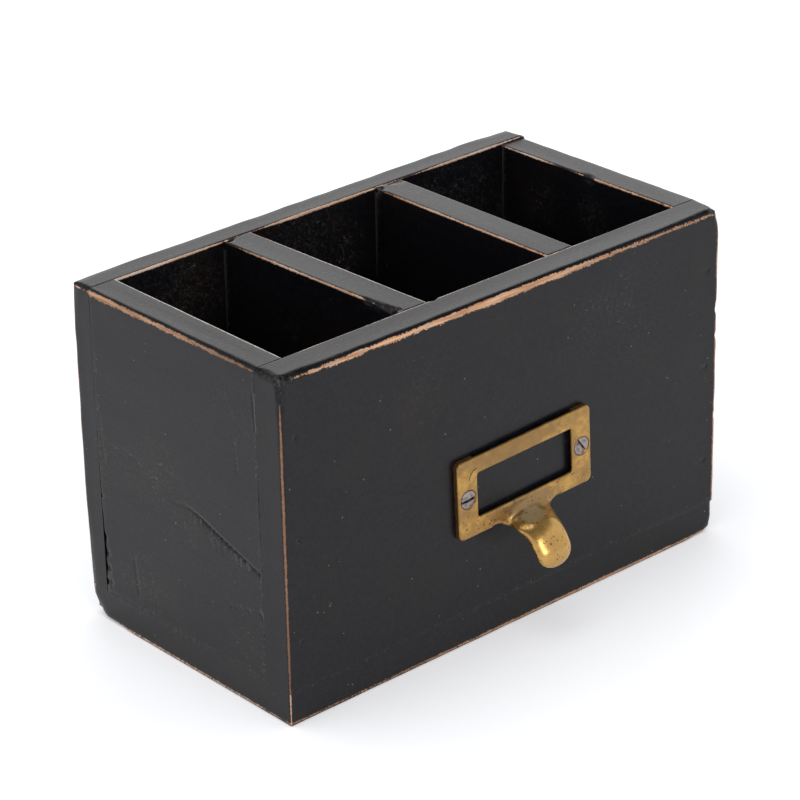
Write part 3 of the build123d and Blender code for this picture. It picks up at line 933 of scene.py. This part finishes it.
# Lighter where it is worn, brown in blotches with ragged edges, and brightest on the tongue, which
# is polished and has painted light on it
sockets = {"Value": noises["mottle"], "From Min": 0.35, "From Max": 0.65}
worn_share = add(tree, "MapRange", sockets, **soft).outputs[0]
sockets = {0: noises["mottle"], 1: 0.5, 2: noises["blotch"]}
uneven = add(tree, "Math", sockets, operation="MULTIPLY_ADD").outputs[0]
sockets = {"Value": uneven, "From Min": 0.66, "From Max": 0.86, "To Max": 0.65}
browned = add(tree, "MapRange", sockets, **soft).outputs[0]
sockets = {"Value": own_axes["Y"], "From Min": polish_and_light_start, "From Max": polish_and_light_full,
           "To Max": polish_and_light_share}
polished_and_lit = add(tree, "MapRange", sockets, **soft).outputs[0]
brass_layers = [(worn_share, "#BB9450"), (browned, "#86673F"), (polished_and_lit, "#D9AD66")]
# Brown on the top bar, tarnish on the lower one, and grey grime where the tongue begins, which
# also paints the dark reflection in that hollow
dulled = {}
for name, (middle, reach, hue, strength) in patches.items():
    sockets = {"Vector": own, "Location": middle, "Scale": reach}
    away = add(tree, "Mapping", sockets, vector_type="TEXTURE").outputs[0]
    away = add(tree, "VectorMath", {0: away}, operation="LENGTH").outputs["Value"]
    sockets = {0: noises["mottle"], 1: 1.2, 2: away}
    away = add(tree, "Math", sockets, operation="MULTIPLY_ADD").outputs[0]
    sockets = {"Value": away, "From Min": 1.15, "From Max": 1.85, "To Min": strength, "To Max": 0.0}
    dulled[name] = add(tree, "MapRange", sockets, **soft).outputs[0]
    brass_layers.append((dulled[name], hue))
# Tarnish on the frame's edges, behind its face
sockets = {"Value": own_axes["Y"], "From Min": edge_start, "From Max": edge_full, "To Max": 0.8}
edge_tarnish = add(tree, "MapRange", sockets, **soft).outputs[0]
brass_layers.append((edge_tarnish, "#7A5638"))
print("brass:", len(brass_layers), "layers over the base colour")

# %% [markdown]
# ## Pits and polish
# Small reddish pits lie mostly in the lower half. The cells of a Voronoi pattern give each pit a
# middle, and the cell's own random colour gives it a radius, or none. The mesh carries one more mark,
# for painted shade in a scratch and in a ring round each screw head. The polished tongue is smoother
# than the cast frame. The grime is hardly metallic, as it is dirt and also a painted dark reflection
# in the hollow where the tongue begins.

# %% Cast brass
pit_cell = 1.15 * mm
pits_begin = 2.0 * mm       # up from the pull's middle
pits_full = -10.0 * mm
grain_depth = 0.06 * mm
sockets = {"Value": own_axes["Z"], "From Min": pits_begin, "From Max": pits_full,
           "To Min": -0.12, "To Max": 0.14}
pit_share = add(tree, "MapRange", sockets, **soft).outputs[0]
cells = add(tree, "TexVoronoi", {"Vector": own, "Scale": 1 / pit_cell}).outputs
sockets = {"Value": cells["Color"], "From Min": 0.5, "From Max": 0.9, "To Min": -0.1, "To Max": 0.28}
pit_radius = add(tree, "MapRange", sockets).outputs[0]
pit_radius = add(tree, "Math", {0: pit_radius, 1: pit_share}, operation="ADD").outputs[0]
sockets = {0: cells["Distance"], 1: pit_radius}
pit_edge = add(tree, "Math", sockets, operation="SUBTRACT").outputs[0]
sockets = {"Value": pit_edge, "From Min": -0.1, "From Max": 0.05, "To Min": 0.75, "To Max": 0.0}
pits = add(tree, "MapRange", sockets, **soft).outputs[0]
# The scar mark paints shade into the bar's scratch and a ring round each screw head
scar_shade = add(tree, "Attribute", {}, attribute_name="scar_shade").outputs["Fac"]
sockets = {"Value": scar_shade, "From Min": -0.15, "From Max": 0.15, "To Max": 0.85}
shaded_scars = add(tree, "MapRange", sockets, **soft).outputs[0]
colour = linear("#A27B42")
for share, hue in brass_layers + [(pits, "#6A3F2A"), (shaded_scars, "#33251A")]:
    sockets = {"Factor": share, under: colour, over: linear(hue)}
    colour = add(tree, "Mix", sockets, data_type="RGBA").outputs[mixed]
sockets = {"Value": noises["casting"], "From Min": 0.3, "From Max": 0.7, "To Min": 0.26, "To Max": 0.38}
rough = add(tree, "MapRange", sockets).outputs[0]
sockets = {0: polished_and_lit, 1: -0.22, 2: rough}
rough = add(tree, "Math", sockets, operation="MULTIPLY_ADD").outputs[0]
sockets = {0: dulled["grime"], 1: 0.25, 2: rough}
rough = add(tree, "Math", sockets, operation="MULTIPLY_ADD").outputs[0]
sockets = {0: pits, 1: -1.0, 2: noises["casting"]}
relief = add(tree, "Math", sockets, operation="MULTIPLY_ADD").outputs[0]
sockets = {"Value": polished_and_lit, "From Max": polish_and_light_share, "To Min": 0.5, "To Max": 0.12}
grain_left = add(tree, "MapRange", sockets).outputs[0]
sockets = {"Height": relief, "Strength": grain_left, "Distance": grain_depth}
bump = add(tree, "Bump", sockets).outputs[0]
# The grime patch is dirt and a painted dark reflection, so it is hardly metallic
sockets = {"Value": dulled["grime"], "To Min": 0.75, "To Max": 0.1}
bright = add(tree, "MapRange", sockets).outputs[0]
sockets = {"Base Color": colour, "Metallic": bright, "Roughness": rough, "Normal": bump}
surface = add(tree, "BsdfPrincipled", sockets).outputs[0]
add(tree, "OutputMaterial", {"Surface": surface})
print("brass:", len(tree.nodes), "nodes")

# %% [markdown]
# ## Worn castings
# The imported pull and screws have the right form, but their arrises are crisp. A bevel would stumble
# over the many thin triangles of the tongue. So a copy of such a mesh is merged, then remeshed into
# small even faces, which lets the whole piece wear: smoothing rounds every arris. Places on the pull
# are read from its own middle, as across, out and up.

# %% Worn castings
merge_share = 0.01          # of the size of the new faces
smoothing = 0.5


def soften(block, verts, rounds):
    """Smooth some of a mesh's vertices, again and again."""
    ways = dict(use_axis_x=True, use_axis_y=True, use_axis_z=True)
    for _ in range(rounds):
        bmesh.ops.smooth_vert(block, verts=verts, factor=smoothing, **ways)


def recast(node, voxel, rounds):
    """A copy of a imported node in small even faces, with its arrises smoothed."""
    source = bmesh.new()
    source.from_mesh(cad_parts[node].data)
    bmesh.ops.remove_doubles(source, verts=source.verts, dist=voxel * merge_share)
    merged = bpy.data.meshes.new(node + "_merged")
    source.to_mesh(merged)
    source.free()
    holder = bpy.data.objects.new(node + "_merged", merged)
    bpy.context.scene.collection.objects.link(holder)
    remesh = holder.modifiers.new("even_faces", "REMESH")
    remesh.mode = "VOXEL"
    remesh.voxel_size = voxel
    even = bpy.data.meshes.new_from_object(holder.evaluated_get(bpy.context.evaluated_depsgraph_get()))
    bpy.data.objects.remove(holder)
    block = bmesh.new()
    block.from_mesh(even)
    soften(block, block.verts, rounds)
    print(node, len(block.verts), "vertices")
    return block


def own_place(spot):
    """A place seen from the pull's middle: across, out and up, in millimetres."""
    flat = (spot - pull_middle) / mm
    across = flat.x * cos(pull_tilt) + flat.z * sin(pull_tilt)
    up = flat.z * cos(pull_tilt) - flat.x * sin(pull_tilt)
    return across, -flat.y, up


print("each round of smoothing moves a vertex", smoothing, "of the way to its neighbours")

# %% [markdown]
# ## The pull
# Decades of use have left the tongue a little rounder than the imported one and bent it to the left.
# Both grow from the root outwards, so the tongue stays joined to its frame. Then the root is smoothed
# once more, a slow noise leaves the filed faces uneven, and a scratch and two rings round the screw
# heads are marked for painted shade.

# %% The pull
casting_voxel = 0.28 * mm
casting_rounds = 3          # of smoothing
tongue_rounds = 40
root_rounds = 70
worn_by = 0.12 * mm
worn_length = 7.0 * mm
bar_scratch = [(-22.3, 10.4), (-24.0, 9.9), (-25.4, 8.4), (-25.8, 7.1)]
scratch_width = 0.45
scratch_depth = 0.2 * mm
screw_across = 26.4
# The dark line round each screw head is painted shade, where the head meets its countersink
screw_shade_ring = 3.45           # radius of the dark line round a screw head
tongue_start = 3.0          # out from the board
tongue_middle = 0.8
tongue_half = 7.5
tongue_crown = 1.6 * mm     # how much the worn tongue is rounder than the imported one
tongue_swell = 0.12         # how much wider
root_swell = 0.2            # more where it leaves the frame
tongue_shift = -1.2 * mm    # and how far it is bent to the left
bend_reach = tongue_half / 2  # out from its start, where the bend is whole
root_half = 16.0            # the root lies within this of the pull's middle
root_level = -10.5          # below this
root_clear = 0.4            # and this far out from the board

block = recast("label_pull", casting_voxel, casting_rounds)
tongue = [vert for vert in block.verts if own_place(vert.co)[1] > tongue_start]
soften(block, tongue, tongue_rounds)
block.normal_update()
for vert in tongue:
    across, out, _ = own_place(vert.co)
    crown = max(0.0, 1 - ((across - tongue_middle) / tongue_half) ** 2)
    ramp = min(1.0, (out - tongue_start) / tongue_half)
    vert.co.z += tongue_crown * crown * ramp * max(0.0, vert.normal.z)
    bend = min(1.0, (out - tongue_start) / bend_reach)
    swell = root_swell + (tongue_swell - root_swell) * ramp
    vert.co.x += (swell * (across - tongue_middle) * mm + tongue_shift) * bend
root = []
for vert in block.verts:
    across, out, up = own_place(vert.co)
    if abs(across) < root_half and out > root_clear and up < root_level:
        root.append(vert)
soften(block, root, root_rounds)
scar_shade = block.verts.layers.float.new("scar_shade")
block.normal_update()
for vert in block.verts:
    vert[scar_shade] = far_off
    across, out, up = own_place(vert.co)
    if out < casting_voxel / mm:
        continue
    wander = noise.noise(vert.co / worn_length)
    vert.co -= vert.normal * worn_by * (0.5 + 0.5 * wander)
    near = off_line(Vector((across, up)), bar_scratch)
    shade_ring = min(abs(hypot(across - side * screw_across, up) - screw_shade_ring) for side in (-1, 1))
    vert[scar_shade] = max(scratch_width / 2 - near, scratch_width / 3 - shade_ring)
    vert.co.y += scratch_depth * max(0.0, 1 - near / scratch_width)
settle(block, "brass_pull", "label_pull", brass)

# %% [markdown]
# ## Steel of the screws and nails
# The screws are plain turned steel, gone grey: a metal gleam, broken by fine scratches and by patches
# of brown grime. The nails are cut steel nails, punched under the paint, so they keep their packed
# shape and only need a dull dark finish with a little rust.

# %% Steel
steel_scratch = 0.35 * mm
steel_relief = 0.05 * mm
grime_size = 1.6 * mm
rust_size = 1.5 * mm
steel = new_material("grey_screw_steel")
tree = steel.node_tree
place = add(tree, "TexCoord", {}).outputs["Object"]
sockets = {"Vector": place, "Scale": 1 / steel_scratch, "Detail": 3.0}
scratch = add(tree, "TexNoise", sockets).outputs[0]
sockets = {"Vector": place, "Scale": 1 / grime_size, "Detail": 3.0}
grime = add(tree, "TexNoise", sockets).outputs[0]
sockets = {"Value": grime, "From Min": 0.45, "From Max": 0.68, "To Max": 0.8}
grimy = add(tree, "MapRange", sockets, **soft).outputs[0]
sockets = {"Factor": grimy, under: linear("#958B8A"), over: linear("#544A48")}
colour = add(tree, "Mix", sockets, data_type="RGBA").outputs[mixed]
sockets = {"Value": scratch, "From Min": 0.3, "From Max": 0.7, "To Min": 0.26, "To Max": 0.45}
rough = add(tree, "MapRange", sockets).outputs[0]
sockets = {"Height": scratch, "Strength": 0.5, "Distance": steel_relief}
bump = add(tree, "Bump", sockets).outputs[0]
sockets = {"Base Color": colour, "Metallic": 1.0, "Roughness": rough, "Normal": bump}
surface = add(tree, "BsdfPrincipled", sockets).outputs[0]
add(tree, "OutputMaterial", {"Surface": surface})

nail_steel = new_material("dull_nail_steel")
tree = nail_steel.node_tree
place = add(tree, "TexCoord", {}).outputs["Object"]
rust = add(tree, "TexNoise", {"Vector": place, "Scale": 1 / rust_size, "Detail": 3.0}).outputs[0]
sockets = {"Factor": rust, under: linear("#3B3938"), over: linear("#4A372B")}
colour = add(tree, "Mix", sockets, data_type="RGBA").outputs[mixed]
sockets = {"Base Color": colour, "Metallic": 1.0, "Roughness": 0.6}
surface = add(tree, "BsdfPrincipled", sockets).outputs[0]
add(tree, "OutputMaterial", {"Surface": surface})
for node in ("front_nails", "back_nails", "base_nails"):
    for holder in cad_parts[node].material_slots:
        holder.material = nail_steel
print("steel:", len(steel.node_tree.nodes), "and", len(nail_steel.node_tree.nodes), "nodes")

# %% [markdown]
# ## The screws
# Two slotted screws hold the pull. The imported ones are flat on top, and the heads of real ones swell a
# little, so a lamp draws a soft spot on each. They are recast as the pull was, in finer faces, and
# each head is then raised, most of all in its middle.

# %% Screws
screw_voxel = 0.12 * mm
screw_rounds = 2
head_dome = 0.45            # how far the head swells, in millimetres
head_radius = 3.3
head_level = 1.9            # what lies further out from the board belongs to the heads
block = recast("pull_screws", screw_voxel, screw_rounds)
for vert in block.verts:
    across, out, up = own_place(vert.co)
    off_axis = min(hypot(across - side * screw_across, up) for side in (-1, 1))
    if out > head_level:
        vert.co.y -= head_dome * mm * max(0.0, 1 - (off_axis / head_radius) ** 2)
settle(block, "steel_screws", "pull_screws", steel)

# %% [markdown]
# ## Floor and background
# The box stands on a sheet of white paper that runs out of sight. To a camera or a reflection the
# paper also glows a little, so it reads as white, and it keeps the box's shadow. The glow grows
# further out, so no edge shows between paper and sky. For reflections the sky is white low down and
# dark high up, as in a studio with pale walls and a dark ceiling: that draws the dark bands along the
# arrises.

# %% Floor and background
floor_reach = 20.0
paper_glow = 0.28
far_glow = 0.7
near_floor = 0.7            # metres round the box where the paper keeps its shadows
far_floor = 2.1
sky_light = 0.72

floor_mesh = bpy.data.meshes.new("floor")
sheet = bmesh.new()
bmesh.ops.create_grid(sheet, x_segments=1, y_segments=1, size=floor_reach)
sheet.to_mesh(floor_mesh)
sheet.free()
floor = bpy.data.objects.new("floor", floor_mesh)
bpy.context.scene.collection.objects.link(floor)
paper = new_material("white_paper")
floor_mesh.materials.append(paper)
world = bpy.data.worlds.new("studio")
world.use_nodes = True
world.node_tree.nodes.clear()
bpy.context.scene.world = world

seen_by = {}
for tree in (paper.node_tree, world.node_tree):
    rays = add(tree, "LightPath", {}).outputs
    sockets = {0: rays["Is Camera Ray"], 1: rays["Is Glossy Ray"]}
    seen = add(tree, "Math", sockets, operation="ADD").outputs[0]
    sockets = {0: seen, 1: rays["Is Transmission Ray"]}
    seen_by[tree] = add(tree, "Math", sockets, operation="ADD", use_clamp=True).outputs[0]

tree = paper.node_tree
place = add(tree, "TexCoord", {}).outputs["Object"]
away = add(tree, "VectorMath", {0: place}, operation="LENGTH").outputs["Value"]
sockets = {"Value": away, "From Min": near_floor, "From Max": far_floor,
           "To Min": paper_glow, "To Max": far_glow}
glow = add(tree, "MapRange", sockets, **soft).outputs[0]
glow = add(tree, "Math", {0: seen_by[tree], 1: glow}, operation="MULTIPLY").outputs[0]
lift = add(tree, "Emission", {"Color": linear("#FFFFFF"), "Strength": glow}).outputs[0]
body = add(tree, "BsdfDiffuse", {"Color": linear("#F1F2F6")}).outputs[0]
both = add(tree, "AddShader", {0: lift, 1: body}).outputs[0]
add(tree, "OutputMaterial", {"Surface": both})

tree = world.node_tree
direction = add(tree, "TexCoord", {}).outputs["Generated"]
upward = add(tree, "SeparateXYZ", {"Vector": direction}).outputs["Z"]
sockets = {"Value": upward, "From Min": 0.5, "From Max": 0.68, "To Min": 1.0, "To Max": 0.12}
ceiling = add(tree, "MapRange", sockets, **soft).outputs[0]
sockets = {"Value": seen_by[tree], "To Min": sky_light, "To Max": ceiling}
strength = add(tree, "MapRange", sockets).outputs[0]
backdrop = add(tree, "Background", {"Color": linear("#FFFFFF"), "Strength": strength}).outputs[0]
add(tree, "OutputWorld", {"Surface": backdrop})
print("paper:", floor_reach, "metres each way")

# %% [markdown]
# ## Lamps
# Three square softboxes add to the sky: one overhead, one behind the box on the right, and a small
# bright one in front, which the brass mirrors. Each is given a place, a width and a brightness as a
# share of white, and the lamp's power follows from those.

# %% Lamps
softboxes = {
    "overhead": ((-0.36, 0.2, 1.65), 1.0, 2.2),
    "behind_right": ((0.94, 1.08, 0.76), 1.2, 0.8),
    "in_front": ((-0.1, -1.5, 0.72), 0.45, 6.5),
}
for name, (place, width, brightness) in softboxes.items():
    lamp = bpy.data.lights.new(name, "AREA")
    lamp.size = width
    lamp.energy = brightness * pi * width**2
    holder = bpy.data.objects.new(name, lamp)
    holder.location = place
    holder.rotation_euler = (Vector(place) - view_aim).to_track_quat("Z", "Y").to_euler()
    bpy.context.scene.collection.objects.link(holder)
bpy.context.scene.view_settings.view_transform = "Standard"
print("lamps:", ", ".join(softboxes))
